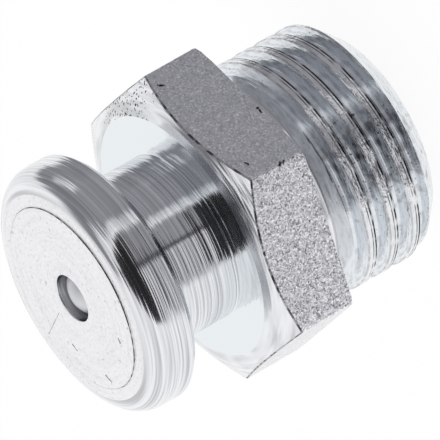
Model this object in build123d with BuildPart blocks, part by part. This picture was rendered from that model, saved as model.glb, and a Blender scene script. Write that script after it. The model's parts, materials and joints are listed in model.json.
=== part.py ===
from build123d import *
import math
import os

# Flat grease nipple with a button head, turned from hexagon bar in one piece.
# The axis is Z with the button head up, and z = 0 is the end face of the screw thread.
# A steel ball is pressed up into a conical seat behind the inlet by a coil spring, and the spring
# stands on a lip that is staked inwards at the end of the thread.
# All lengths are in millimetres and all angles in degrees.

# Button head, which the grease coupler slides over from the side
head_dia = 10.0
head_thickness = 2.0
head_front_round = 0.95
head_back_chamfer = 0.25
face_disc_dia = 7.4
face_disc_rise = 0.05

# Neck between the head and the hexagon, where the jaws of the coupler reach in
neck_dia = 6.7
neck_length = 3.05
neck_root_round = 0.15

# Hexagon, chamfered by turning on both sides, with a slight cone inside the chamfer on the head side
hex_across_flats = 11.0
hex_length = 3.05
hex_face_dia = 9.8
hex_face_drop = 0.08
hex_chamfer_dia = 10.6
hex_seat_chamfer_dia = 12.3
hex_chamfer_angle = 28.0
hex_bar_corner_round = 0.1

# Metric fine thread, cut by a helical groove between the end chamfer and the relief at the seat
thread_nominal_dia = 10.0
thread_crest_dia = 9.6
thread_pitch = 1.0
thread_flank_angle = 30.0
thread_depth_share = 0.6134
thread_gap_share = 0.875
thread_start_share = 0.27
thread_length = 5.5
thread_end_chamfer = 0.85
thread_end_round = 0.15
thread_tool_stop = 0.6
thread_tool_overrun = 0.1
relief_dia = 8.5
relief_land = 0.8

# Grease passage: inlet, conical seat, valve bore and the staked lip that holds the spring
inlet_dia = 1.9
inlet_land = 0.5
seat_half_angle = 30.0
valve_bore_dia = 2.8
lip_bore_dia = 1.8
lip_thickness = 0.45

# Valve ball and spring
ball_dia = 2.381
ball_seat_gap = 0.01
wire_dia = 0.25
spring_mean_dia = 2.0
spring_turns = 5.0
wire_sides = 8
spring_end_gap = 0.01

# How far every cutting tool runs past the material
overrun = 1.0

# Radii and heights worked out from the sizes above
head_r = head_dia / 2
neck_r = neck_dia / 2
relief_r = relief_dia / 2
inlet_r = inlet_dia / 2
valve_bore_r = valve_bore_dia / 2
lip_bore_r = lip_bore_dia / 2
crest_r = thread_crest_dia / 2
thread_end_r = crest_r - thread_end_chamfer
hex_corner_r = hex_across_flats / 2 / math.cos(math.pi / 6)
hex_blank_r = hex_corner_r + overrun
chamfer_slope = math.tan(math.radians(hex_chamfer_angle))

seat_z = thread_length
hex_top_z = seat_z + hex_length
head_under_z = hex_top_z + neck_length
face_z = head_under_z + head_thickness
shoulder_z = face_z - face_disc_rise

hex_chamfer_top_z = hex_top_z - hex_face_drop
hex_chamfer_z = hex_chamfer_top_z - (hex_blank_r - hex_chamfer_dia / 2) * chamfer_slope
hex_seat_chamfer_z = seat_z + (hex_blank_r - hex_seat_chamfer_dia / 2) * chamfer_slope
relief_top_of_flank_z = seat_z - relief_land - (crest_r - relief_r)

cone_top_z = face_z - inlet_land
cone_slope = math.tan(math.radians(seat_half_angle))
cone_bottom_z = cone_top_z - (valve_bore_r - inlet_r) / cone_slope

# Turned blank: the outline runs from the inlet over the head, neck and hexagon to the thread's end
with BuildPart() as nipple_body:
    with BuildSketch(Plane.XZ):
        with BuildLine():
            Polyline(
                (inlet_r, face_z),
                (face_disc_dia / 2, face_z),
                (face_disc_dia / 2, shoulder_z),
                (head_r - head_front_round, shoulder_z),
            )
            CenterArc((head_r - head_front_round, shoulder_z - head_front_round), head_front_round, 0, 90)
            Polyline(
                (head_r, shoulder_z - head_front_round),
                (head_r, head_under_z + head_back_chamfer),
                (head_r - head_back_chamfer, head_under_z),
                (neck_r, head_under_z),
                (neck_r, hex_top_z + neck_root_round),
            )
            CenterArc((neck_r + neck_root_round, hex_top_z + neck_root_round), neck_root_round, 180, 90)
            Polyline(
                (neck_r + neck_root_round, hex_top_z),
                (hex_face_dia / 2, hex_top_z),
                (hex_chamfer_dia / 2, hex_chamfer_top_z),
                (hex_blank_r, hex_chamfer_z),
                (hex_blank_r, hex_seat_chamfer_z),
                (hex_seat_chamfer_dia / 2, seat_z),
                (relief_r, seat_z),
                (relief_r, seat_z - relief_land),
                (crest_r, relief_top_of_flank_z),
                (crest_r, thread_end_chamfer),
                (thread_end_r, 0),
                (lip_bore_r, 0),
                (lip_bore_r, lip_thickness),
                (valve_bore_r, lip_thickness),
                (valve_bore_r, cone_bottom_z),
                (inlet_r, cone_top_z),
                (inlet_r, face_z),
            )
        make_face()
    revolve(axis=Axis.Z)

    # The end of the thread is broken by a small round where the chamfer meets the end face
    end_rim = nipple_body.edges().filter_by(GeomType.CIRCLE).group_by(Axis.Z)[0].sort_by(SortBy.RADIUS)[-1]
    fillet(end_rim, radius=thread_end_round)

    # The six flats of the bar: everything outside the hexagon is milled away
    with BuildSketch(Plane.XY.offset(seat_z)):
        Circle(hex_blank_r + overrun)
        with BuildSketch(mode=Mode.SUBTRACT) as bar_section:
            RegularPolygon(hex_corner_r, 6)
            fillet(bar_section.vertices(), radius=hex_bar_corner_round)
    extrude(amount=hex_length, mode=Mode.SUBTRACT)

    # Thread groove: a trapezoid with sixty degrees between its flanks follows a right-hand helix
    groove_root_r = thread_nominal_dia / 2 - thread_depth_share * thread_pitch
    groove_mouth_r = crest_r + thread_tool_overrun
    flank_slope = math.tan(math.radians(thread_flank_angle))
    gap_half = thread_gap_share * thread_pitch / 2
    groove_mouth_half = gap_half - (thread_nominal_dia / 2 - groove_mouth_r) * flank_slope
    groove_root_half = gap_half - (thread_nominal_dia / 2 - groove_root_r) * flank_slope
    groove_start_z = (thread_start_share - 1) * thread_pitch
    groove_end_z = seat_z - thread_tool_stop
    for turn in range(math.ceil((groove_end_z - groove_start_z) / thread_pitch)):
        turn_z = groove_start_z + turn * thread_pitch
        turn_height = min(thread_pitch, groove_end_z - turn_z)
        with BuildLine() as groove_path:
            Helix(thread_pitch, turn_height, groove_root_r, center=(0, 0, turn_z))
        with BuildSketch(Plane.XZ):
            with BuildLine():
                Polyline(
                    (groove_root_r, turn_z - groove_root_half),
                    (groove_mouth_r, turn_z - groove_mouth_half),
                    (groove_mouth_r, turn_z + groove_mouth_half),
                    (groove_root_r, turn_z + groove_root_half),
                    close=True,
                )
            make_face()
        sweep(path=groove_path.wire(), is_frenet=True, mode=Mode.SUBTRACT)

# Valve ball, which touches the cone where the cone's slope is tangent to it
ball_r = ball_dia / 2
seat_contact_r = ball_r * math.cos(math.radians(seat_half_angle))
seat_contact_z = cone_top_z - (seat_contact_r - inlet_r) / cone_slope
ball_centre_z = seat_contact_z - ball_r * math.sin(math.radians(seat_half_angle)) - ball_seat_gap

with BuildPart(Plane.XY.offset(ball_centre_z)) as valve_ball:
    Sphere(ball_r)

# Valve spring: the ball nests in its top turn, and its foot is ground flat to stand on the lip.
# Eight flats stand for the round section of the thin wire.
spring_mean_r = spring_mean_dia / 2
wire_r = wire_dia / 2
nest_drop = math.sqrt((ball_r + wire_r + spring_end_gap) ** 2 - spring_mean_r**2)
spring_foot_z = lip_thickness + spring_end_gap
spring_head_z = ball_centre_z - nest_drop
spring_pitch = (spring_head_z - spring_foot_z) / spring_turns

with BuildPart() as valve_spring:
    with BuildLine() as coil_path:
        Helix(spring_pitch, spring_head_z - spring_foot_z, spring_mean_r, center=(0, 0, spring_foot_z))
    with BuildSketch(Plane(coil_path.wire() @ 0, x_dir=(1, 0, 0), z_dir=coil_path.wire() % 0)):
        RegularPolygon(wire_r, wire_sides)
    sweep(path=coil_path.wire(), is_frenet=True)
    split(bisect_by=Plane.XY.offset(spring_foot_z), keep=Keep.TOP)

nipple_body.part.label = "nipple_body"
valve_ball.part.label = "valve_ball"
valve_spring.part.label = "valve_spring"

os.makedirs("parts", exist_ok=True)
export_step(nipple_body.part, "parts/nipple_body.step")
export_step(valve_ball.part, "parts/valve_ball.step")
export_step(valve_spring.part, "parts/valve_spring.step")
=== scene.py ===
"""Looks of a flat grease nipple: a zinc plated body turned from hexagon bar, with a ball valve inside.

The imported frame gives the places, the bodies and the joint. Every length below is in millimetres in the part's own
frame, with z = 0 at the end face of the thread and +Z towards the button head, and becomes metres in the meshes.
"""

import json
import logging
import math
from dataclasses import dataclass, field
from enum import Enum, IntEnum
from statistics import NormalDist

import bmesh
import bpy
from mathutils import Matrix, Vector


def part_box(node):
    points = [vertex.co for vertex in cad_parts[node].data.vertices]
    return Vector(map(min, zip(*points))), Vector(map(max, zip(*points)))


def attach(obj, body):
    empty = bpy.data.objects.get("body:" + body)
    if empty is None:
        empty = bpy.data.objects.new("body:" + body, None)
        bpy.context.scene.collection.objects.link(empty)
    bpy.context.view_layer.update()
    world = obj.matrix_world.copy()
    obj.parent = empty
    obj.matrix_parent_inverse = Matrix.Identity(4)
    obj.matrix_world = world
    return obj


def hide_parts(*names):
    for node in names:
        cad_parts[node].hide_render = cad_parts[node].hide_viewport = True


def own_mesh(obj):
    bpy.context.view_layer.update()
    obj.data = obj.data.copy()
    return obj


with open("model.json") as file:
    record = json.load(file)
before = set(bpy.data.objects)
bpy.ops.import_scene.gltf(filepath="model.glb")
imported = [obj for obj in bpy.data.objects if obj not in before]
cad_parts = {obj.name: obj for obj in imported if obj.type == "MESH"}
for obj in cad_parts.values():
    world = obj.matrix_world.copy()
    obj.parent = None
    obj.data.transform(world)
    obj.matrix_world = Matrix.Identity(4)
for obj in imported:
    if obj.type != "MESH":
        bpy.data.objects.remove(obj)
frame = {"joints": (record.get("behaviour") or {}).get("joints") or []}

LOG = logging.getLogger("grease_nipple")
MM = 0.001
# The kinds of node that are used most
MATH, VECTOR, RANGE, MIX = "ShaderNodeMath", "ShaderNodeVectorMath", "ShaderNodeMapRange", "ShaderNodeMix"
NOISE, APART, TOGETHER = "ShaderNodeTexNoise", "ShaderNodeSeparateXYZ", "ShaderNodeCombineXYZ"
MERGE_MM = 0.0002  # points closer than this are one point
NOISE_LEVELS = NormalDist(0.5, 0.115)  # how the values of Blender's noise are spread, to turn a share into a level
DULL_FROM, DULL_FULL = 0.55, 0.3  # noise below the first is a dull mark, which is full at the second
SCATTER_FADE = -0.3  # what the noise loses where a scatter of specks has ended
RAGGED_MM = 0.12  # size of the ripples in the outline of a scuff
RAGGED_SHARE = 1.6  # how far they move that outline, in widths of the scuff
SCUFF_FROM, SCUFF_FULL = 1.3, 1.05  # where a scuff begins and is full, in its widths
AROUND_THE_AXIS = 0.25  # turn of the stretched blur that lays it across the tool's marks


def stroke_mm(joint: str) -> float:
    """Gives the length in millimetres of one of the frame's slides."""
    return next(j["range_m"][1] for j in frame["joints"] if j["name"] == joint) / MM


def linear(hex_colour: str) -> tuple[float, float, float, float]:
    """Turns an sRGB hex colour into linear light.

    Args:
        hex_colour: Six hex digits, with or without a leading hash.

    Returns:
        Red, green, blue and an alpha of one.
    """
    digits = hex_colour.lstrip("#")
    shares = [int(digits[i:i + 2], 16) / 255 for i in (0, 2, 4)]
    light = [c / 12.92 if c <= 0.04045 else ((c + 0.055) / 1.055) ** 2.4 for c in shares]
    return (*light, 1.0)


def add_node(tree: bpy.types.NodeTree, kind: str, inputs: dict | None = None, **settings: object) -> bpy.types.Node:
    """Adds one node to a tree, with its settings and what goes into its sockets.

    Args:
        tree: The shader or geometry tree.
        kind: The node's type name.
        inputs: For each input, by its name or number, a value, another node's output, or a node for its first output.
            A range maps what lies between inputs 1 and 2 to 3 and 4, which are 0 and 1 where nothing is given. A
            colour mix has its colours at inputs 6 and 7 and its result at output 2.
        **settings: Attributes of the node.

    Returns:
        The new node.
    """
    node = tree.nodes.new(kind)
    for name, value in settings.items():
        setattr(node, name, value)
    for key, value in (inputs or {}).items():
        source = value.outputs[0] if isinstance(value, bpy.types.Node) else value
        if isinstance(source, bpy.types.NodeSocket):
            tree.links.new(source, node.inputs[key])
        else:
            node.inputs[key].default_value = source
    return node


def empty_tree(owner: bpy.types.Material | bpy.types.World) -> bpy.types.NodeTree:
    """Turns on the nodes of a new material or world and clears them away.

    Args:
        owner: The material or world.

    Returns:
        Its empty node tree.
    """
    owner.use_nodes = True
    owner.node_tree.nodes.clear()
    return owner.node_tree


class BodyFinish(IntEnum):
    """The finishes on the body, in the order of its material slots."""

    TURNED = 0
    FACED = 1
    FORMED = 2
    CHAMFERED = 3
    DRAWN = 4
    EDGE = 5
    THREAD = 6
    CREST = 7
    BORE = 8


class Lay(Enum):
    """Which way the fine marks run that a tool leaves on a surface."""

    AROUND = "around the axis"
    RINGS = "in rings on a face"
    GRAIN = "no direction, in grains"


@dataclass(frozen=True)
class Marks:
    """One size of the fine marks below the plating.

    Attributes:
        width_mm: Width of a mark.
        length_mm: Length of a mark, which is the same as its width for grains.
        tilt: Height of the marks as a share of their width.
        dullness: How much duller the plating is in the marks, from 0 to 1.
    """

    width_mm: float
    length_mm: float
    tilt: float
    dullness: float = 0.0


@dataclass(frozen=True)
class Specks:
    """Small spots, such as pits in the plating, trapped dirt, painted glints or lines of painted shade, scattered round
    a place or everywhere.

    Attributes:
        colour: Colour of a spot.
        size_mm: Size of a spot.
        share: Share of the surface that the spots take at their middle.
        depth_mm: Depth of a spot.
        middle_mm: Middle of the scatter, or None for everywhere.
        reach_mm: Distance from the middle at which the scatter ends.
        soft: Softness of the spots' outlines.
        layer: The mesh attribute that the spots keep to, or None.
    """

    colour: str
    size_mm: float
    share: float
    depth_mm: float = 0.01
    middle_mm: tuple[float, float, float] | None = None
    reach_mm: float = 1.0
    soft: float = 0.02
    layer: str | None = None


@dataclass(frozen=True)
class Scuff:
    """One scratch, nick or stain at a known place.

    Attributes:
        start_mm: One end of it.
        end_mm: The other end.
        width_mm: Its width.
        colour: Its colour.
        depth_mm: Its depth.
    """

    start_mm: tuple[float, float, float]
    end_mm: tuple[float, float, float]
    width_mm: float
    colour: str
    depth_mm: float = 0.01


@dataclass(frozen=True)
class ZincPlate:
    """Bright zinc on steel, clear passivated. It shows as a pale metal with a faint blue cast and sharp, broken glints.

    Attributes:
        name: Name of the material.
        lay: Direction of the marks below the plating.
        marks: The marks, from coarse to fine.
        colour: Colour of the clean plating.
        dull_colour: Colour of the plating in the marks.
        roughness: Blur of the reflections between the marks.
        stretch: How much more that blur spreads across the marks than along them, from 0 to 1.
        facet_mm: Size of the crystal facets, or 0 for none.
        facet_tilt: How far the facets lean.
        specks: Scattered spots.
        scuffs: Damage at known places.
    """

    name: str
    lay: Lay
    marks: tuple[Marks, ...]
    colour: str = "#edeef1"
    dull_colour: str = "#7a7c80"
    roughness: float = 0.2
    stretch: float = 0.0
    facet_mm: float = 0.0
    facet_tilt: float = 0.0
    specks: tuple[Specks, ...] = ()
    scuffs: tuple[Scuff, ...] = ()

    def mark_heights(self, tree: bpy.types.NodeTree, place: bpy.types.NodeSocket) -> tuple[bpy.types.Node, list[tuple]]:
        """Adds up the heights of all the marks.

        Args:
            tree: The material's node tree.
            place: Object coordinates.

        Returns:
            The height in metres, and for each dull kind of mark its cover, its colour and a depth of zero.
        """
        space, height, dull = place, None, []
        if self.lay is Lay.RINGS:
            flat = add_node(tree, VECTOR, {0: place, 1: (1, 1, 0)}, operation="MULTIPLY")
            radius = add_node(tree, VECTOR, {0: flat}, operation="LENGTH").outputs["Value"]
            apart = add_node(tree, APART, {0: place}).outputs
            space = add_node(tree, TOGETHER, {0: apart[0], 1: apart[1], 2: radius})
        for mark in self.marks:
            along, across = 1 / (mark.length_mm * MM), 1 / (mark.width_mm * MM)
            scaled = add_node(tree, "ShaderNodeMapping", {0: space, "Scale": (along, along, across)})
            noise = add_node(tree, NOISE, {"Vector": scaled, "Scale": 1.0, "Detail": 1.0})
            height = add_node(tree, MATH, {0: noise, 1: mark.tilt * mark.width_mm * MM, 2: height or 0.0},
                              operation="MULTIPLY_ADD")
            if mark.dullness:
                cover = add_node(tree, RANGE, {0: noise, 1: DULL_FROM, 2: DULL_FULL, 4: mark.dullness})
                dull.append((cover, self.dull_colour, 0.0))
        return height, dull

    def speck_covers(self, tree: bpy.types.NodeTree, place: bpy.types.NodeSocket) -> list[tuple]:
        """Works out where the scattered specks lie.

        Args:
            tree: The material's node tree.
            place: Object coordinates.

        Returns:
            For each kind of speck its cover from 0 to 1, its colour and its depth in millimetres.
        """
        found = []
        for speck in self.specks:
            noise = add_node(tree, NOISE, {"Vector": place, "Scale": 1 / (speck.size_mm * MM), "Detail": 0.0})
            if speck.middle_mm:
                middle, reach = tuple(v * MM for v in speck.middle_mm), speck.reach_mm * MM
                away = add_node(tree, VECTOR, {0: place, 1: middle}, operation="DISTANCE")
                fade = add_node(tree, RANGE, {0: away.outputs["Value"], 1: reach / 2, 2: reach, 4: SCATTER_FADE})
                noise = add_node(tree, MATH, {0: noise, 1: fade}, operation="ADD")
            level = NOISE_LEVELS.inv_cdf(1 - speck.share)
            cover = add_node(tree, RANGE, {0: noise, 1: level - speck.soft, 2: level + speck.soft})
            if speck.layer:
                kept = add_node(tree, "ShaderNodeAttribute", attribute_name=speck.layer).outputs["Fac"]
                cover = add_node(tree, MATH, {0: cover, 1: kept}, operation="MULTIPLY")
            found.append((cover, speck.colour, speck.depth_mm))
        return found

    def scuff_covers(self, tree: bpy.types.NodeTree, place: bpy.types.NodeSocket) -> list[tuple]:
        """Works out where the scuffs lie, each with a ragged outline.

        Args:
            tree: The material's node tree.
            place: Object coordinates.

        Returns:
            For each scuff its cover from 0 to 1, its colour and its depth in millimetres.
        """
        found, ragged = [], None
        for scuff in self.scuffs:
            ragged = ragged or add_node(tree, NOISE, {"Vector": place, "Scale": 1 / (RAGGED_MM * MM), "Detail": 1.0})
            start, width = Vector(scuff.start_mm) * MM, scuff.width_mm * MM
            way = (Vector(scuff.end_mm) - Vector(scuff.start_mm)) * MM
            off = add_node(tree, VECTOR, {0: place, 1: start}, operation="SUBTRACT")
            run = add_node(tree, VECTOR, {0: off, 1: way / way.length_squared}, operation="DOT_PRODUCT")
            run = add_node(tree, "ShaderNodeClamp", {0: run.outputs["Value"]})
            nearest = add_node(tree, VECTOR, {0: way, "Scale": run}, operation="SCALE")
            away = add_node(tree, VECTOR, {0: off, 1: nearest}, operation="DISTANCE")
            away = add_node(tree, MATH, {0: ragged, 1: RAGGED_SHARE * width, 2: away.outputs["Value"]},
                            operation="MULTIPLY_ADD")
            cover = add_node(tree, RANGE, {0: away, 1: SCUFF_FROM * width, 2: SCUFF_FULL * width})
            found.append((cover, scuff.colour, scuff.depth_mm))
        return found

    def material(self) -> bpy.types.Material:
        """Builds the material.

        Returns:
            A node material.
        """
        made = bpy.data.materials.new(self.name)
        tree = empty_tree(made)
        place = add_node(tree, "ShaderNodeTexCoord").outputs["Object"]
        (height, dull), tint = self.mark_heights(tree, place), linear(self.colour)
        for cover, colour, depth_mm in (*dull, *self.speck_covers(tree, place), *self.scuff_covers(tree, place)):
            height = add_node(tree, MATH, {0: cover, 1: -depth_mm * MM, 2: height}, operation="MULTIPLY_ADD")
            tint = add_node(tree, MIX, {0: cover, 6: tint, 7: linear(colour)}, data_type="RGBA").outputs[2]
        relief = {"Height": height, "Strength": 1.0, "Distance": 1.0}
        if self.facet_mm:
            cells = add_node(tree, "ShaderNodeTexVoronoi", {"Vector": place, "Scale": 1 / (self.facet_mm * MM)})
            lean = add_node(tree, VECTOR, {0: cells.outputs["Color"], 1: (0.5, 0.5, 0.5)}, operation="SUBTRACT")
            lean = add_node(tree, VECTOR, {0: lean, "Scale": 2 * self.facet_tilt}, operation="SCALE")
            upright = add_node(tree, "ShaderNodeNewGeometry").outputs["Normal"]
            leaning = add_node(tree, VECTOR, {0: upright, 1: lean}, operation="ADD")
            relief["Normal"] = add_node(tree, VECTOR, {0: leaning}, operation="NORMALIZE")
        bump = add_node(tree, "ShaderNodeBump", relief)
        inputs = {"Base Color": tint, "Metallic": 1.0, "Roughness": self.roughness, "Normal": bump}
        if self.stretch:
            apart = add_node(tree, APART, {0: place}).outputs
            back = add_node(tree, MATH, {0: apart[1], 1: -1.0}, operation="MULTIPLY")
            around = add_node(tree, TOGETHER, {0: back, 1: apart[0]})
            along = add_node(tree, VECTOR, {0: around}, operation="NORMALIZE")
            inputs |= {"Anisotropic": self.stretch, "Anisotropic Rotation": AROUND_THE_AXIS, "Tangent": along}
        metal = add_node(tree, "ShaderNodeBsdfPrincipled", inputs)
        add_node(tree, "ShaderNodeOutputMaterial", {0: metal})
        return made


@dataclass(frozen=True)
class PlainSteel:
    """Clean steel with an even finish, such as a ground ball or drawn wire."""

    name: str
    colour: str
    roughness: float

    def material(self) -> bpy.types.Material:
        """Builds the material.

        Returns:
            A node material.
        """
        made = bpy.data.materials.new(self.name)
        tree = empty_tree(made)
        metal = add_node(tree, "ShaderNodeBsdfPrincipled",
                         {"Base Color": linear(self.colour), "Metallic": 1.0, "Roughness": self.roughness})
        add_node(tree, "ShaderNodeOutputMaterial", {0: metal})
        return made


@dataclass(frozen=True)
class Corner:
    """One corner of a turned outline.

    Attributes:
        r: Radius.
        z: Height.
        blend: Radius of the rounding at this corner.
        finish: Finish of the run that follows.
        step: Longest step between two rings on the run that follows, or zero for none between.
    """

    r: float
    z: float
    blend: float = 0.0
    finish: BodyFinish = BodyFinish.TURNED
    step: float = 0.0


def bent(share: float, start: tuple[float, float], middle: tuple[float, float],
         end: tuple[float, float]) -> tuple[float, float]:
    """Gives the point at a share of the way along a smooth curve, which rounds the corner in the middle."""
    first, last = Vector(start).lerp(middle, share), Vector(middle).lerp(end, share)
    return tuple(first.lerp(last, share))


def rounded_outline(corners: list[Corner], arc_steps: int = 5) -> list[tuple[float, float, BodyFinish]]:
    """Rounds the corners of an open outline and divides its long runs.

    Args:
        corners: The outline's corners in order.
        arc_steps: Steps in each rounded corner.

    Returns:
        Radius, height and the finish of the run that follows, for each ring.
    """
    rings: list[tuple[float, float, BodyFinish]] = []
    for i, corner in enumerate(corners):
        here = Vector((corner.r, corner.z))
        points = [here]
        if corner.blend and 0 < i < len(corners) - 1:
            back = (Vector((corners[i - 1].r, corners[i - 1].z)) - here).normalized()
            ahead = (Vector((corners[i + 1].r, corners[i + 1].z)) - here).normalized()
            half = back.angle(ahead) / 2
            centre = here + (back + ahead).normalized() * corner.blend / math.sin(half)
            reach, turn = corner.blend / math.tan(half), math.pi - 2 * half
            first, last = here + back * reach - centre, here + ahead * reach - centre
            swings = [turn * k / arc_steps for k in range(arc_steps + 1)]
            points = [centre + (first * math.sin(turn - s) + last * math.sin(s)) / math.sin(turn) for s in swings]
        if rings and corners[i - 1].step:
            last = Vector(rings[-1][:2])
            count = math.ceil((points[0] - last).length / corners[i - 1].step)
            finish = corners[i - 1].finish
            rings += [(*last.lerp(points[0], k / count), finish) for k in range(1, count)]
        rings += [(p.x, p.y, corner.finish) for p in points]
    return rings


def body_finishes() -> dict[BodyFinish, ZincPlate]:
    """Gives the finish of each turned, drawn or cut surface of the body.

    Returns:
        A finish for each of the body's material slots.
    """
    dirt, around, rings, grain = "#2b2b2d", Lay.AROUND, Lay.RINGS, Lay.GRAIN
    dent, scratch, face_z = "#77777a", "#b4b4b7", 13.6
    # Painted shade: dark lines along the edges of the thread's crests and beside the burr, which the thread's mesh
    # keeps in a layer
    crest_dirt = Specks("#161617", 0.4, 0.8, 0.0, soft=0.15, layer="dirt")
    stains = (Specks("#a8a8ac", 0.35, 0.07, 0.0, (0.6, -4.6, 1.8), 3.4, soft=0.12),
              Specks("#6c6c70", 0.11, 0.012, 0.0, (1.0, -4.5, 2.0), 3.6, soft=0.04))
    return {
        # The tool's feed marks run round the axis, so the glints are long thin streaks. Real marks are about 0.05 mm
        # wide, and all of them are drawn coarser here so that they show.
        BodyFinish.TURNED: ZincPlate(
            "zinc_on_turned_steel", around,
            (Marks(0.25, 9.0, 0.16), Marks(0.1, 7.0, 0.2, 0.25), Marks(0.07, 5.0, 0.18, 0.4)),
            roughness=0.15, stretch=0.7),
        # A faced end reflects evenly and looks almost white, with pale grey mottling and a few spots.
        BodyFinish.FACED: ZincPlate(
            "zinc_on_faced_steel", rings, (Marks(0.2, 3.0, 0.05, 0.08), Marks(0.14, 0.14, 0.04, 0.12)),
            colour="#f4f4f6", roughness=0.34, specks=(Specks("#c4c4c7", 0.13, 0.006, 0.001, soft=0.08),),
            scuffs=(Scuff((-3.3, -0.9, face_z), (-3.1, -0.6, face_z), 0.1, dent, 0.002),
                    Scuff((-2.4, 1.0, face_z), (-2.2, 1.2, face_z), 0.08, dent, 0.002),
                    Scuff((-2.1, 2.8, face_z), (-0.9, 1.4, face_z), 0.04, scratch, 0.001),
                    Scuff((-1.3, -2.6, face_z), (-1.1, -2.55, face_z), 0.09, dent, 0.002))),
        # A form tool leaves the shoulder round the neck smooth, so it mirrors the neck. Its bluer colour is a painted
        # tint for the bluish shade that it mirrors.
        BodyFinish.FORMED: ZincPlate(
            "zinc_on_formed_shoulder", rings, (Marks(0.3, 4.0, 0.03), Marks(0.1, 1.0, 0.03)), colour="#e8edf0",
            roughness=0.1),
        # The tool's marks cross the chamfer, and dirt has stayed in the pits on one side.
        BodyFinish.CHAMFERED: ZincPlate(
            "zinc_on_chamfered_steel", around, (Marks(0.15, 2.0, 0.2, 0.2), Marks(0.09, 1.5, 0.26, 0.3)),
            roughness=0.18, stretch=0.4, specks=(Specks(dirt, 0.1, 0.05, 0.01, (5.6, 1.7, 8.2), 3.4),)),
        # Drawn and pickled bar has fine grains that sparkle where light and dark meet in them. Real grains are about
        # 0.02 mm wide and are drawn coarser here. The zinc's own crystals are far smaller and only blur what it shows.
        BodyFinish.DRAWN: ZincPlate(
            "zinc_on_drawn_bar", grain, (Marks(0.3, 0.3, 0.06, 0.15), Marks(0.1, 0.1, 0.08, 0.3)),
            colour="#e6e6ea", roughness=0.24, facet_mm=0.06, facet_tilt=0.14,
            # The white specks are raised grains, and their white colour is a painted glint.
            specks=(Specks("#ffffff", 0.08, 0.12, -0.002, soft=0.05),),
            scuffs=(Scuff((6.03, -0.55, 7.8), (5.95, -0.7, 7.65), 0.1, dirt),
                    Scuff((3.6, -4.75, 7.6), (3.5, -4.9, 7.5), 0.1, dirt),
                    Scuff((4.51, -3.18, 5.55), (4.4, -3.4, 5.6), 0.12, dirt),
                    Scuff((3.16, -5.48, 6.6), (3.18, -5.47, 6.45), 0.17, dirt))),
        # The edges are darker, with dark specks, in a thin uneven line. At the small step round the face's disc this is
        # painted shade.
        BodyFinish.EDGE: ZincPlate(
            "zinc_worn_on_edges", grain, (Marks(0.2, 0.2, 0.3),), colour="#b6b6b9", roughness=0.35,
            specks=(Specks("#58585b", 0.3, 0.35, 0.0, soft=0.1),)),
        # A cut thread has smooth flanks with marks along the helix, and dark lines of painted shade run along the edges
        # of its crests.
        BodyFinish.THREAD: ZincPlate(
            "zinc_on_cut_thread", rings,
            (Marks(0.9, 1.6, 0.015), Marks(0.3, 3.0, 0.05), Marks(0.08, 0.5, 0.12, 0.3)),
            colour="#e6eaee", roughness=0.18, specks=(Specks(dirt, 0.07, 0.0015, 0.005), *stains, crest_dirt)),
        # The crests are the bar's own skin, rubbed in places, so their glints break up into small bright specks.
        BodyFinish.CREST: ZincPlate(
            "zinc_on_thread_crests", around, (Marks(0.16, 0.5, 0.2, 0.2), Marks(0.08, 0.14, 0.24, 0.1)),
            roughness=0.2, specks=(*stains, crest_dirt)),
        # Less plating reaches the inside, and its darker colour is also painted shade for the hole, where little light
        # gets in.
        BodyFinish.BORE: ZincPlate("zinc_in_drilled_bore", around, (Marks(0.1, 2.0, 0.2),), colour="#c8cacd"),
    }


@dataclass(frozen=True)
class FeedRidges:
    """Shallow ridges that the turning tool leaves as it feeds along.

    Attributes:
        spacing: Distance between ridges.
        drift: Length over which that distance wanders.
        depth: Depth of the valleys.
        wander: How far the ridges stray from an even spacing, in radians.
    """

    spacing: float
    drift: float
    depth: float
    wander: float = 1.6

    def cut_depth(self, z: float) -> float:
        """Gives how far the tool cut below the outline at a height."""
        wave = math.sin(math.tau * z / self.spacing + self.wander * math.sin(math.tau * z / self.drift))
        return self.depth * (0.5 + 0.5 * wave)


@dataclass(frozen=True)
class DirtLine:
    """A thin line of painted shade along the crest of the thread.

    Attributes:
        off: Distance of its middle from the crest's edge.
        reach: Half its width.
        strength: How dark it is, from 0 to 1.
    """

    off: float
    reach: float
    strength: float


def sized_tree(name: str, sizes: dict) -> tuple[bpy.types.NodeTree, bpy.types.NodeOutputs]:
    """Starts a geometry node tree that has a named input for each size.

    Args:
        name: Name of the tree.
        sizes: A number or a material for each input's name.

    Returns:
        The tree, and its inputs as outputs of a node.
    """
    kinds = {float: "NodeSocketFloat", int: "NodeSocketInt"}
    tree = bpy.data.node_groups.new(name, "GeometryNodeTree")
    tree.interface.new_socket("Geometry", in_out="OUTPUT", socket_type="NodeSocketGeometry")
    for label, size in sizes.items():
        tree.interface.new_socket(label, in_out="INPUT", socket_type=kinds.get(type(size), "NodeSocketMaterial"))
    return tree, add_node(tree, "NodeGroupInput").outputs


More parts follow.
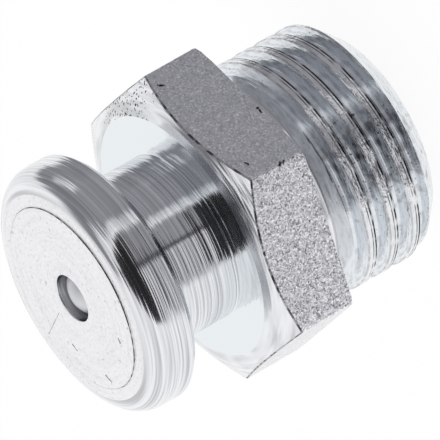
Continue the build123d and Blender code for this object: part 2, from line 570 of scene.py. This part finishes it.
def grown_mesh(tree: bpy.types.NodeTree, shape: bpy.types.Node, dress: bpy.types.NodeSocket,
               sizes: dict) -> bpy.types.Mesh:
    """Ends a geometry node tree, runs it with the given sizes and keeps its result as a plain mesh.

    Args:
        tree: The geometry node tree.
        shape: The node that gives its geometry.
        dress: The socket that gives its material.
        sizes: Value for each of the tree's named inputs.

    Returns:
        The mesh, with no modifier on it.
    """
    real = add_node(tree, "GeometryNodeRealizeInstances", {0: shape})
    dressed = add_node(tree, "GeometryNodeSetMaterial", {0: real, "Material": dress})
    add_node(tree, "NodeGroupOutput", {0: dressed})
    carrier = bpy.data.objects.new(tree.name, bpy.data.meshes.new(tree.name))
    bpy.context.scene.collection.objects.link(carrier)
    modifier = carrier.modifiers.new("grow", "NODES")
    modifier.node_group = tree
    for item in tree.interface.items_tree:
        if item.in_out == "INPUT":
            modifier[item.identifier] = sizes[item.name]
    depsgraph = bpy.context.evaluated_depsgraph_get()
    mesh = bpy.data.meshes.new_from_object(carrier.evaluated_get(depsgraph), depsgraph=depsgraph)
    carrier.modifiers.clear()
    bpy.data.objects.remove(carrier)
    return mesh


def finished_piece(name: str, shaped: bmesh.types.BMesh, materials: list[bpy.types.Material],
                   sharp_deg: float = 50.0) -> bpy.types.Object:
    """Turns a shape into a dressed object with smooth faces, and links it into the scene.

    Args:
        name: Name of the piece.
        shaped: The shape, which is freed.
        materials: Materials in the order of their slots.
        sharp_deg: Angle between two faces from which their edge stays sharp.

    Returns:
        The object.
    """
    bmesh.ops.recalc_face_normals(shaped, faces=shaped.faces)
    LOG.info("%s: %d open edges", name, sum(not edge.is_manifold for edge in shaped.edges))
    mesh = bpy.data.meshes.new(name)
    shaped.to_mesh(mesh)
    shaped.free()
    for material in materials:
        mesh.materials.append(material)
    mesh.shade_smooth()
    mesh.set_sharp_from_angle(angle=math.radians(sharp_deg))
    piece = bpy.data.objects.new(name, mesh)
    bpy.context.scene.collection.objects.link(piece)
    return piece


# The math nodes of the screw thread, one to a row: a name for the result, the operation and what goes in, which is a
# number, a named size or the result of a row above.
THREAD_STEPS = (
    # The grid's X and Y, from -0.5 to 0.5, become the row and the share of the way round.
    ("Row Share", "ADD", "X", 0.5),
    ("Share", "ADD", "Y", 0.5),
    ("Turn", "MULTIPLY", "Row Share", "Turns"),
    ("Turn Here", "ADD", "Turn", "Share"),
    ("Turns Up", "SUBTRACT", "Turn Here", 1.0),
    ("Climb", "MULTIPLY_ADD", "Turns Up", "Pitch", "Low"),
    ("Above Low", "MAXIMUM", "Climb", "Low"),
    ("Z", "MINIMUM", "Above Low", "High"),
    # How far a point lies from the middle of the groove gives the groove's depth there.
    ("Z In Pitches", "DIVIDE", "Z", "Pitch"),
    ("After Start", "SUBTRACT", "Z In Pitches", "Start"),
    ("Phase", "SUBTRACT", "After Start", "Share"),
    ("Off In Pitches", "WRAP", "Phase", 0.5, -0.5),
    ("Side Share", "ABSOLUTE", "Off In Pitches"),
    ("Side", "MULTIPLY", "Side Share", "Pitch"),
    ("Inside Gap", "SUBTRACT", "Half Gap", "Side"),
    ("Cut", "DIVIDE", "Inside Gap", "Flank Slope"),
    ("Flank", "SUBTRACT", "Nominal Radius", "Cut"),
    ("Groove", "SMOOTH_MAX", "Flank", "Root Radius", "Edge Round"),
    # The blank is the bar between the end chamfer and the cone of the relief.
    ("End Cone", "ADD", "End Radius", "Z"),
    ("Below Relief", "SUBTRACT", "Relief Height", "Z"),
    ("Relief Cone", "ADD", "Relief Radius", "Below Relief"),
    ("End Blank", "SMOOTH_MIN", "Crest Radius", "End Cone", "Edge Round"),
    ("Blank", "SMOOTH_MIN", "End Blank", "Relief Cone", "Edge Round"),
    ("Radius", "SMOOTH_MIN", "Blank", "Groove", "Edge Round"),
    ("Angle", "MULTIPLY", "Share", math.tau),
    ("Cosine", "COSINE", "Angle"),
    ("Sine", "SINE", "Angle"),
    ("Spot X", "MULTIPLY", "Radius", "Cosine"),
    ("Spot Y", "MULTIPLY", "Radius", "Sine"),
    # Painted shade lies in lines along both edges of the crest and beside the burr, on full crests only.
    ("Off", "MULTIPLY", "Off In Pitches", "Pitch"),
    ("Off Lower Edge", "SUBTRACT", "Off", "Crest Gap"),
    ("Off Upper Edge", "ADD", "Off", "Crest Gap"),
    ("Lower Line", "COMPARE", "Off Lower Edge", "Lower Line Off", "Lower Line Reach"),
    ("Upper Line", "COMPARE", "Off Upper Edge", "Upper Line Off", "Upper Line Reach"),
    ("Burr Line", "COMPARE", "Off Lower Edge", "Burr Line Off", "Burr Line Reach"),
    ("Lower Shade", "MULTIPLY", "Lower Line", "Lower Line Strength"),
    ("Upper Shade", "MULTIPLY", "Upper Line", "Upper Line Strength"),
    ("Burr Shade", "MULTIPLY", "Burr Line", "Burr Line Strength"),
    ("Faint Shade", "MAXIMUM", "Upper Shade", "Burr Shade"),
    ("All Shade", "MAXIMUM", "Lower Shade", "Faint Shade"),
    ("On Full Crest", "COMPARE", "Blank", "Crest Radius", "Full Crest"),
    ("Painted Shade", "MULTIPLY", "All Shade", "On Full Crest"),
)


@dataclass
class NippleBody:
    """The body: button head, neck, hexagon, screw thread and the grease passage, all turned from one bar."""

    head_dia: float = 10.0
    head_thickness: float = 2.0
    head_front_round: float = 0.95
    head_back_chamfer: float = 0.25
    face_disc_dia: float = 7.4
    face_disc_rise: float = 0.05
    neck_dia: float = 6.7
    neck_length: float = 3.05
    neck_root_round: float = 0.04
    hex_across_flats: float = 11.0
    hex_length: float = 3.05
    hex_face_dia: float = 9.8
    hex_face_drop: float = 0.08
    hex_chamfer_dia: float = 10.6
    hex_seat_chamfer_dia: float = 12.3
    hex_chamfer_angle: float = 28.0
    hex_bar_corner_round: float = 0.101  # a hair more than the solid's, so that the corners stay inside its box
    hex_edge_break: float = 0.05
    thread_nominal_dia: float = 10.0
    thread_crest_dia: float = 9.6
    thread_pitch: float = 1.0
    thread_flank_angle: float = 30.0
    thread_depth_share: float = 0.6134
    thread_gap_share: float = 0.875
    thread_start_share: float = 0.27
    thread_length: float = 5.5
    thread_end_chamfer: float = 0.85
    thread_end_round: float = 0.15
    thread_edge_round: float = 0.04
    relief_dia: float = 8.5
    relief_land: float = 0.8
    inlet_dia: float = 1.9
    inlet_land: float = 0.5
    seat_half_angle: float = 30.0
    valve_bore_dia: float = 2.8
    lip_bore_dia: float = 1.8
    lip_thickness: float = 0.45
    edge_break: float = 0.04
    rim_ridges: FeedRidges = FeedRidges(0.26, 0.9, 0.003)
    neck_ridges: FeedRidges = FeedRidges(0.17, 0.77, 0.0015)
    relief_ridges: FeedRidges = FeedRidges(0.14, 0.5, 0.006)
    # The lines of painted shade along the crests
    lower_line: DirtLine = DirtLine(0.01, 0.05, 1.0)
    upper_line: DirtLine = DirtLine(0.0, 0.03, 0.35)
    burr_line: DirtLine = DirtLine(0.17, 0.035, 0.85)
    full_crest: float = 0.03  # painted shade lies only where the crest is cut less than this
    columns: int = 192
    corner_columns: tuple[float, ...] = (0.0, 0.14, 0.28, 1.1)  # columns next to a corner, in steps away from it
    rows_in_a_turn: int = 48
    front_steps: int = 10
    wall_steps: int = 12
    finishes: dict[BodyFinish, ZincPlate] = field(default_factory=body_finishes)

    def __post_init__(self) -> None:
        """Works out the heights along the axis."""
        self.seat_z = self.thread_length
        self.hex_top_z = self.seat_z + self.hex_length
        self.head_under_z = self.hex_top_z + self.neck_length
        self.face_z = self.head_under_z + self.head_thickness
        self.crest_r = self.thread_crest_dia / 2
        self.end_r = self.crest_r - self.thread_end_chamfer
        self.relief_r = self.relief_dia / 2
        self.relief_z = self.seat_z - self.relief_land
        self.root_r = self.thread_nominal_dia / 2 - self.thread_depth_share * self.thread_pitch
        self.chamfer_start_r = self.hex_chamfer_dia / 2 + 2 * self.edge_break
        clear = 2 * self.thread_edge_round
        self.thread_low_z = self.root_r - self.end_r - clear
        self.thread_high_z = self.relief_z - (self.root_r - self.relief_r) + clear

    def head_corners(self) -> list[Corner]:
        """Gives the outline from the inlet over the face and the head to the hexagon.

        Returns:
            Corners in order.
        """
        shoulder_z = self.face_z - self.face_disc_rise
        disc_r, head_r, neck_r = self.face_disc_dia / 2, self.head_dia / 2, self.neck_dia / 2
        tiny, faced, chamfered = self.edge_break, BodyFinish.FACED, BodyFinish.CHAMFERED
        r, flat_r, rim_r = self.head_front_round, head_r - self.head_front_round, self.hex_chamfer_dia / 2
        turns = [math.pi / 2 * (1 - k / self.front_steps) for k in range(1, self.front_steps)]
        return [
            Corner(self.inlet_dia / 2, self.face_z - self.inlet_land, 0, BodyFinish.BORE, step=0.1),
            Corner(self.inlet_dia / 2, self.face_z, tiny, faced, step=0.4),
            Corner(disc_r, self.face_z, tiny / 2, BodyFinish.EDGE),
            Corner(disc_r + self.face_disc_rise / 2, shoulder_z, tiny / 2, faced, step=0.2),
            Corner(flat_r, shoulder_z, 0, faced),
            *(Corner(flat_r + r * math.cos(t), shoulder_z - r + r * math.sin(t)) for t in turns),
            Corner(head_r, shoulder_z - r, step=0.04),
            Corner(head_r, self.head_under_z + self.head_back_chamfer, tiny),
            Corner(head_r - self.head_back_chamfer, self.head_under_z, tiny, step=0.3),
            Corner(neck_r, self.head_under_z, 2 * tiny, step=0.04),
            Corner(neck_r, self.hex_top_z, self.neck_root_round, BodyFinish.FORMED, step=0.3),
            Corner(self.hex_face_dia / 2, self.hex_top_z, tiny, chamfered),
            Corner(rim_r, self.head_side(rim_r), tiny, chamfered),
            Corner(self.chamfer_start_r, self.head_side(self.chamfer_start_r), 0, chamfered),
        ]

    def shank_corners(self) -> list[Corner]:
        """Gives the outline from the hexagon's seat face to the top of the thread.

        Returns:
            Corners in order.
        """
        return [
            Corner(self.hex_across_flats / 2 - 2 * self.hex_edge_break, self.seat_z, 0, BodyFinish.FACED, step=0.3),
            Corner(self.relief_r, self.seat_z, 2 * self.edge_break, step=0.03),
            Corner(self.relief_r, self.relief_z, self.edge_break),
            Corner(self.relief_r + self.relief_z - self.thread_high_z, self.thread_high_z),
        ]

    def passage_corners(self) -> list[Corner]:
        """Gives the outline from the foot of the thread over the end face and up the bore to the inlet.

        Returns:
            Corners in order.
        """
        bore_r, lip_r = self.valve_bore_dia / 2, self.lip_bore_dia / 2
        cone_top_z = self.face_z - self.inlet_land
        cone_z = cone_top_z - (bore_r - self.inlet_dia / 2) / math.tan(math.radians(self.seat_half_angle))
        tiny, bore = self.edge_break, BodyFinish.BORE
        return [
            Corner(self.end_r + self.thread_low_z, self.thread_low_z, 0, BodyFinish.THREAD),
            Corner(self.end_r, 0, self.thread_end_round, BodyFinish.FACED, step=0.3),
            Corner(lip_r, 0, tiny, bore),
            Corner(lip_r, self.lip_thickness, tiny, bore),
            Corner(bore_r, self.lip_thickness, tiny, bore, step=1.0),
            Corner(bore_r, cone_z, tiny, bore, step=0.2),
            Corner(self.inlet_dia / 2, cone_top_z, 0, bore),
        ]

    def tool_marks(self, r: float, z: float) -> float:
        """Gives how far the turning tool cut below the outline, as shallow uneven feed ridges.

        Args:
            r: Radius of the ring.
            z: Height of the ring.

        Returns:
            Depth in millimetres.
        """
        ridged = ((self.head_dia / 2, self.rim_ridges), (self.neck_dia / 2, self.neck_ridges),
                  (self.relief_r, self.relief_ridges))
        for ridged_r, ridges in ridged:
            if abs(r - ridged_r) < self.edge_break:
                return ridges.cut_depth(z)
        return 0.0

    def flat_radius(self, turn: float) -> float:
        """Gives the bar's radius in a direction: six flats with slightly rounded corners.

        Args:
            turn: Angle about the axis in radians, with a corner at zero.

        Returns:
            Radius in millimetres.
        """
        sixth = math.pi / 3
        off_corner = (turn + sixth / 2) % sixth - sixth / 2
        corner_r = (self.hex_across_flats / 2 - self.hex_bar_corner_round) / math.cos(sixth / 2)
        reach = corner_r * math.sin(abs(off_corner))
        flat = self.hex_across_flats / 2 / math.cos(sixth / 2 - abs(off_corner))
        if reach > self.hex_bar_corner_round / 2:
            return flat
        return corner_r * math.cos(off_corner) + math.sqrt(self.hex_bar_corner_round ** 2 - reach ** 2)

    def column_turns(self, on_hexagon: bool) -> list[float]:
        """Gives the angle of each column of points. On the hexagon the columns crowd round its corners.

        Args:
            on_hexagon: Whether the ring lies on the hexagon.

        Returns:
            Angles in radians.
        """
        step = math.tau / self.columns
        turns = [k * step for k in range(self.columns)]
        if not on_hexagon:
            return turns
        in_sixth = self.columns // 6
        crowded = dict(enumerate(self.corner_columns))
        crowded |= {in_sixth - k: -away for k, away in enumerate(self.corner_columns) if k}
        moved = []
        for k, turn in enumerate(turns):
            share = k % in_sixth
            corner = (k // in_sixth + (share > in_sixth / 2)) * math.pi / 3
            moved.append(corner + crowded[share] * step if share in crowded else turn)
        return moved

    def head_side(self, r: float) -> float:
        """Gives the height of the hexagon's head side: flat, then a slight cone, then the chamfer.

        Args:
            r: Radius.

        Returns:
            Height in millimetres.
        """
        face_r, rim_r = self.hex_face_dia / 2, self.hex_chamfer_dia / 2
        if r <= rim_r:
            return self.hex_top_z - self.hex_face_drop * max(0.0, r - face_r) / (rim_r - face_r)
        return self.hex_top_z - self.hex_face_drop - (r - rim_r) * math.tan(math.radians(self.hex_chamfer_angle))

    def seat_side(self, r: float) -> float:
        """Gives the height of the hexagon's seat side at a radius: flat, then the chamfer of the corners."""
        slope = math.tan(math.radians(self.hex_chamfer_angle))
        return self.seat_z + max(0.0, r - self.hex_seat_chamfer_dia / 2) * slope

    def hexagon_rings(self) -> list[tuple[list[tuple[float, float]], BodyFinish]]:
        """Gives the rings over the hexagon, from its head-side chamfer down its flats to its seat chamfer.

        Returns:
            For each ring the radius and height of every column, and the finish of the run that follows.
        """
        cut, first_r, quarters = self.hex_edge_break, self.chamfer_start_r, [k / 4 for k in range(5)]
        radii = [self.flat_radius(t) for t in self.column_turns(True)]
        tall = [self.seat_side(r) - self.head_side(r) + 2 * cut for r in radii]
        rings = []
        for share in (0.33, 0.66):
            reaches = [first_r + (r - cut - first_r) * share for r in radii]
            rings.append(([(r, self.head_side(r)) for r in reaches], BodyFinish.CHAMFERED))
        for share in quarters:
            ring = [bent(share, (r - cut, self.head_side(r - cut)), (r, self.head_side(r)),
                         (r, self.head_side(r) - cut)) for r in radii]
            rings.append((ring, BodyFinish.EDGE if share < 1 else BodyFinish.DRAWN))
        for k in range(1, self.wall_steps):
            ring = [(r, self.head_side(r) - cut + t * k / self.wall_steps) for r, t in zip(radii, tall)]
            rings.append((ring, BodyFinish.DRAWN))
        for share in quarters:
            ring = [bent(share, (r, self.seat_side(r) + cut), (r, self.seat_side(r)),
                         (r - cut, self.seat_side(r - cut))) for r in radii]
            rings.append((ring, BodyFinish.DRAWN if share < 1 else BodyFinish.FACED))
        inner, way_out = self.hex_across_flats / 2 - 2 * cut, 0.6
        rings.append(([(inner + (r - cut - inner) * way_out, self.seat_z) for r in radii], BodyFinish.FACED))
        return rings

    def thread_mesh(self, finish: bpy.types.Material) -> bpy.types.Mesh:
        """Grows the screw thread between the end chamfer and the relief, from rows of points that follow the helix.

        Args:
            finish: Material of the thread.

        Returns:
            A plain mesh, open at both ends, with its painted crest shade as an attribute.
        """
        nominal_r, half_gap = self.thread_nominal_dia / 2, self.thread_gap_share * self.thread_pitch / 2
        slope = math.tan(math.radians(self.thread_flank_angle))
        lengths = {
            "Low": self.thread_low_z, "High": self.thread_high_z, "Pitch": self.thread_pitch,
            "Nominal Radius": nominal_r, "Crest Radius": self.crest_r, "Root Radius": self.root_r,
            "End Radius": self.end_r, "Relief Radius": self.relief_r, "Relief Height": self.relief_z,
            "Half Gap": half_gap, "Crest Gap": half_gap - (nominal_r - self.crest_r) * slope,
            "Edge Round": self.thread_edge_round, "Full Crest": self.full_crest,
        }
        rise_in_turns = (self.thread_high_z - self.thread_low_z) / self.thread_pitch
        runs = math.ceil((rise_in_turns + 1) * self.rows_in_a_turn)
        sizes = {"Start": self.thread_start_share, "Flank Slope": slope, "Turns": runs / self.rows_in_a_turn,
                 "Rows": runs + 1, "Columns": self.columns + 1, "Material": finish}
        for name, line in (("Lower", self.lower_line), ("Upper", self.upper_line), ("Burr", self.burr_line)):
            lengths |= {f"{name} Line Off": line.off, f"{name} Line Reach": line.reach}
            sizes[f"{name} Line Strength"] = line.strength
        sizes |= {name: length * MM for name, length in lengths.items()}
        tree, size = sized_tree("screw_thread", sizes)
        spread = add_node(tree, APART, {0: add_node(tree, "GeometryNodeInputPosition")}).outputs
        value = {socket.name: socket for socket in (*size, *spread) if socket.name}
        for name, operation, *terms in THREAD_STEPS:
            inputs = {k: value[t] if isinstance(t, str) else t for k, t in enumerate(terms)}
            value[name] = add_node(tree, MATH, inputs, operation=operation).outputs[0]
        grid = add_node(tree, "GeometryNodeMeshGrid", {0: 1.0, 1: 1.0, 2: value["Rows"], 3: value["Columns"]})
        spot = add_node(tree, TOGETHER, {0: value["Spot X"], 1: value["Spot Y"], 2: value["Z"]})
        # The painted shade along the crests is stored on the points for the material
        stained = add_node(tree, "GeometryNodeStoreNamedAttribute",
                           {0: grid, "Name": "dirt", "Value": value["Painted Shade"]}, data_type="FLOAT", domain="POINT")
        placed = add_node(tree, "GeometryNodeSetPosition", {0: stained, 2: spot})
        closed = add_node(tree, "GeometryNodeMergeByDistance", {0: placed, "Distance": MERGE_MM * MM})
        return grown_mesh(tree, closed, value["Material"], sizes)

    def round_rings(self, corners: list[Corner]) -> list[tuple[list[tuple[float, float]], BodyFinish, bool]]:
        """Turns an outline into full rings with feed ridges cut in, each marked as not being on the hexagon."""
        return [([(r - self.tool_marks(r, z), z)] * self.columns, finish, False)
                for r, z, finish in rounded_outline(corners)]

    def build(self) -> bpy.types.Object:
        """Builds the closed body mesh, dresses it and sets it on its CAD body.

        Returns:
            The finished object.
        """
        materials = [self.finishes[f].material() for f in BodyFinish]
        shaped = bmesh.new()
        shaped.from_mesh(self.thread_mesh(materials[BodyFinish.THREAD]))
        for face in shaped.faces:
            middle = face.calc_center_median() / MM
            on_crest = middle.xy.length > self.crest_r - self.thread_edge_round / 2
            face.material_index = BodyFinish.CREST if on_crest else BodyFinish.THREAD
        above = [*self.round_rings(self.head_corners()), *((*ring, True) for ring in self.hexagon_rings()),
                 *self.round_rings(self.shank_corners())]
        for rings in (above, self.round_rings(self.passage_corners())):
            circles = []
            for ring, finish, on_hexagon in rings:
                turns = self.column_turns(on_hexagon)
                circle = [shaped.verts.new((r * math.cos(t) * MM, r * math.sin(t) * MM, z * MM))
                          for (r, z), t in zip(ring, turns)]
                circles.append((circle, finish))
            for (upper, finish), (lower, _) in zip(circles, circles[1:]):
                for k in range(self.columns):
                    face = shaped.faces.new((upper[k], upper[k - 1], lower[k - 1], lower[k]))
                    face.material_index = finish
        bmesh.ops.remove_doubles(shaped, verts=shaped.verts, dist=MERGE_MM * MM)
        piece = finished_piece("nipple_body_dressed", shaped, materials, sharp_deg=40.0)
        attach(piece, "body")
        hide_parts("nipple_body")
        return piece


@dataclass
class ValveBall:
    """The hardened ball that closes the inlet from inside."""

    columns: int = 64
    rows: int = 32
    # Ground bearing steel. Behind its film of grease in the inlet it shows as an even pale grey, not as a mirror.
    finish: PlainSteel = PlainSteel("ground_ball_steel", "#e2e3e5", 0.55)

    def build(self) -> bpy.types.Object:
        """Builds the ball where its CAD node is and lets it ride on its own body.

        Returns:
            The finished object.
        """
        low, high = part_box("valve_ball")
        shaped = bmesh.new()
        bmesh.ops.create_uvsphere(shaped, u_segments=self.columns, v_segments=self.rows, radius=(high.z - low.z) / 2,
                                  matrix=Matrix.Translation((0, 0, (low.z + high.z) / 2)))
        piece = finished_piece("valve_ball_ground", shaped, [self.finish.material()])
        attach(piece, "ball")
        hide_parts("valve_ball")
        return piece


@dataclass
class ValveSpring:
    """The coil spring below the ball, wound of round wire."""

    wire_dia: float = 0.25
    mean_dia: float = 2.0
    turns: float = 5.0
    steps_in_a_turn: int = 48
    wire_sides: int = 12
    stroke: float = field(default_factory=lambda: stroke_mm("valve_slide"))
    # Hard drawn wire has no plating, so it looks darker than the body, with a plain sheen.
    finish: PlainSteel = PlainSteel("drawn_spring_wire", "#a9aaad", 0.25)

    def coil_mesh(self, foot: float, height: float, finish: bpy.types.Material) -> bpy.types.Mesh:
        """Grows the coil: a helix with a round wire along it.

        Args:
            foot: Height in metres of the lower end of the wire's middle line.
            height: Height in metres from there to its upper end.
            finish: Material of the wire.

        Returns:
            A plain mesh.
        """
        sizes = {"Foot": foot, "Height": height, "Mean Radius": self.mean_dia / 2 * MM,
                 "Wire Radius": self.wire_dia / 2 * MM, "Turns": self.turns, "Steps In A Turn": self.steps_in_a_turn,
                 "Wire Sides": self.wire_sides, "Material": finish}
        tree, size = sized_tree("coil_spring", sizes)
        coil = add_node(tree, "GeometryNodeCurveSpiral",
                        {"Resolution": size["Steps In A Turn"], "Rotations": size["Turns"],
                         "Start Radius": size["Mean Radius"], "End Radius": size["Mean Radius"],
                         "Height": size["Height"]})
        ring = add_node(tree, "GeometryNodeCurvePrimitiveCircle",
                        {"Resolution": size["Wire Sides"], "Radius": size["Wire Radius"]})
        wire = add_node(tree, "GeometryNodeCurveToMesh", {"Curve": coil, "Profile Curve": ring, "Fill Caps": True})
        lift = add_node(tree, TOGETHER, {2: size["Foot"]})
        lifted = add_node(tree, "GeometryNodeTransform", {0: wire, "Translation": lift})
        return grown_mesh(tree, lifted, size["Material"], sizes)

    def build(self) -> bpy.types.Object:
        """Builds the coil where its CAD node is and grinds its foot flat.

        Returns:
            The finished object.
        """
        low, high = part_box("valve_spring")
        finish = self.finish.material()
        shaped = bmesh.new()
        shaped.from_mesh(self.coil_mesh(low.z, high.z - low.z - self.wire_dia / 2 * MM, finish))
        every = [*shaped.verts, *shaped.edges, *shaped.faces]
        cut = bmesh.ops.bisect_plane(shaped, geom=every, plane_co=(0, 0, low.z), plane_no=(0, 0, -1), clear_outer=True)
        rim = [edge for edge in cut["geom_cut"] if isinstance(edge, bmesh.types.BMEdge)]
        bmesh.ops.holes_fill(shaped, edges=rim)
        piece = finished_piece("valve_spring_coil", shaped, [finish])
        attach(piece, "body")
        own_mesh(piece)
        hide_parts("valve_spring")
        return piece


@dataclass
class PhotoCamera:
    """The camera at the photograph's angle."""

    right: tuple[float, float, float] = (-0.29424, -0.5344, -0.79236)
    up: tuple[float, float, float] = (0.87215, 0.18892, -0.45129)
    back: tuple[float, float, float] = (0.39087, -0.82385, 0.41049)
    location_mm: tuple[float, float, float] = (234.1298, -493.906, 252.9708)
    lens_mm: float = 1341.587
    sensor_mm: float = 36.0
    clip_m: tuple[float, float] = (0.01, 10.0)

    def build(self) -> None:
        """Adds the camera and makes it the scene's own."""
        lens = bpy.data.cameras.new("photo_camera")
        lens.lens, lens.sensor_width = self.lens_mm, self.sensor_mm
        lens.clip_start, lens.clip_end = self.clip_m
        camera = bpy.data.objects.new("photo_camera", lens)
        bpy.context.scene.collection.objects.link(camera)
        turn = Matrix((self.right, self.up, self.back)).transposed().to_4x4()
        camera.matrix_world = Matrix.Translation(Vector(self.location_mm) * MM) @ turn
        bpy.context.scene.camera = camera


@dataclass(frozen=True)
class Card:
    """One soft-edged part of the studio as the metal sees it: a wall, a black card or a strip light.

    Attributes:
        azimuth: Direction of its middle about the axis, in degrees from +X.
        half_width: Half its width in degrees.
        low: Height of its lower edge in degrees above the horizon.
        high: Height of its upper edge.
        soft: Width of its blurred edge in degrees.
        colour: Colour and brightness.
    """

    azimuth: float
    half_width: float
    low: float
    high: float
    soft: float
    colour: str


@dataclass
class Studio:
    """A plain pale floor in a soft white studio, with a grey wall on the right and a black card by the camera."""

    floor_size_mm: float = 400.0
    floor_colour: str = "#f4f4f4"
    floor_glow: float = 1.06
    floor_glow_share: float = 0.88
    white: str = "#ffffff"
    cards: tuple[Card, ...] = (
        # Grey walls on the right, which the head, the neck, the thread and one flat show
        Card(20, 46, -90, 70, 10, "#929297"),
        Card(70, 48, 50, 74, 12, "#88888c"),
        Card(2, 24, -90, 64, 18, "#96969b"),
        Card(4, 24, -90, 0, 14, "#9d9da2"),
        # Two windows in them, for the glints on the head and the thread
        Card(31, 13, 2, 18, 8, "#f4f4f6"),
        Card(-4, 28, 60, 80, 5, "#ffffff"),
        # The pale table on the left, and the greyer part of it that the other flat shows
        Card(-97, 26, -90, -1, 6, "#ececef"),
        Card(-97, 26, -90, -18, 10, "#acacb0"),
        # A grey strip and a dark gap in front, for the streaks on the neck and the rim
        Card(-53, 18, -90, 0, 5, "#a0a0a4"),
        Card(-67.5, 2.5, -90, 0, 3, "#4a4a4d"),
        # The black card by the camera and its dimmer top, for the black bands
        Card(-78, 42, 0, 80, 4, "#2a2a2b"),
        Card(-88, 36, 78, 94, 4, "#48484b"),
        # A pale gap between the black card and the grey wall
        Card(-28, 4, -90, 62, 4, "#dcdde0"),
        # A dark edge on the table, for the shade in the relief
        Card(-88, 33, -54, -36, 8, "#3c3c3f"),
    )

    def world(self) -> bpy.types.World:
        """Builds the studio that the metal shows. The camera itself sees plain white.

        Returns:
            A node world.
        """
        made = bpy.data.worlds.new("soft_studio")
        tree = empty_tree(made)
        way = add_node(tree, "ShaderNodeTexCoord").outputs["Generated"]
        apart = add_node(tree, APART, {0: way}).outputs
        azimuth = add_node(tree, MATH, {0: apart[1], 1: apart[0]}, operation="ARCTAN2")
        height = add_node(tree, MATH, {0: apart[2]}, operation="ARCSINE")
        colour = linear(self.white)
        for card in self.cards:
            middle, half, soft = (math.radians(v) for v in (card.azimuth, card.half_width, card.soft / 2))
            rise, tall = (math.radians(v) for v in ((card.high + card.low) / 2, (card.high - card.low) / 2))
            aside = add_node(tree, MATH, {0: azimuth, 1: middle}, operation="SUBTRACT")
            aside = add_node(tree, MATH, {0: aside, 1: math.pi, 2: -math.pi}, operation="WRAP")
            above = add_node(tree, MATH, {0: height, 1: rise}, operation="SUBTRACT")
            shares = {}
            for k, (off, reach) in enumerate(((aside, half), (above, tall))):
                away = add_node(tree, MATH, {0: off}, operation="ABSOLUTE")
                shares[k] = add_node(tree, RANGE, {0: away, 1: reach + soft, 2: reach - soft},
                                     interpolation_type="SMOOTHSTEP")
            cover = add_node(tree, MATH, shares, operation="MULTIPLY")
            colour = add_node(tree, MIX, {0: cover, 6: colour, 7: linear(card.colour)}, data_type="RGBA").outputs[2]
        seen = add_node(tree, "ShaderNodeLightPath").outputs["Is Camera Ray"]
        shown = add_node(tree, MIX, {0: seen, 6: colour, 7: linear(self.white)}, data_type="RGBA")
        light = add_node(tree, "ShaderNodeBackground", {0: shown.outputs[2], 1: 1.0})
        add_node(tree, "ShaderNodeOutputWorld", {0: light})
        return made

    def floor_material(self) -> bpy.types.Material:
        """Builds the floor's pale paper, which the camera sees white with the object's soft shadow.

        Returns:
            A node material.
        """
        made = bpy.data.materials.new("pale_floor_paper")
        tree = empty_tree(made)
        paper = add_node(tree, "ShaderNodeBsdfDiffuse", {0: linear(self.floor_colour)})
        glow = add_node(tree, "ShaderNodeEmission", {0: linear(self.white), 1: self.floor_glow})
        seen = add_node(tree, "ShaderNodeLightPath").outputs["Is Camera Ray"]
        share = add_node(tree, MATH, {0: seen, 1: self.floor_glow_share}, operation="MULTIPLY")
        both = add_node(tree, "ShaderNodeMixShader", {0: share, 1: paper, 2: glow})
        add_node(tree, "ShaderNodeOutputMaterial", {0: both})
        return made

    def build(self) -> None:
        """Adds the floor and the world."""
        scene = bpy.context.scene
        scene.view_settings.view_transform = "Standard"
        half = self.floor_size_mm / 2 * MM
        mesh = bpy.data.meshes.new("floor")
        mesh.from_pydata([(-half, -half, 0), (half, -half, 0), (half, half, 0), (-half, half, 0)], [], [(0, 1, 2, 3)])
        mesh.materials.append(self.floor_material())
        floor = bpy.data.objects.new("floor", mesh)
        scene.collection.objects.link(floor)
        floor.visible_glossy = False  # the metal shows the studio's cards below the horizon instead
        scene.world = self.world()


def main() -> None:
    """Builds the pieces in order, then the studio and the camera."""
    logging.basicConfig(level=logging.INFO, format="%(message)s")
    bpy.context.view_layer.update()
    for part in (NippleBody(), ValveBall(), ValveSpring()):
        piece = part.build()
        LOG.info("%s: %d faces", piece.name, len(piece.data.polygons))
    Studio().build()
    PhotoCamera().build()
    bpy.context.view_layer.update()


if __name__ == "__main__":
    main()
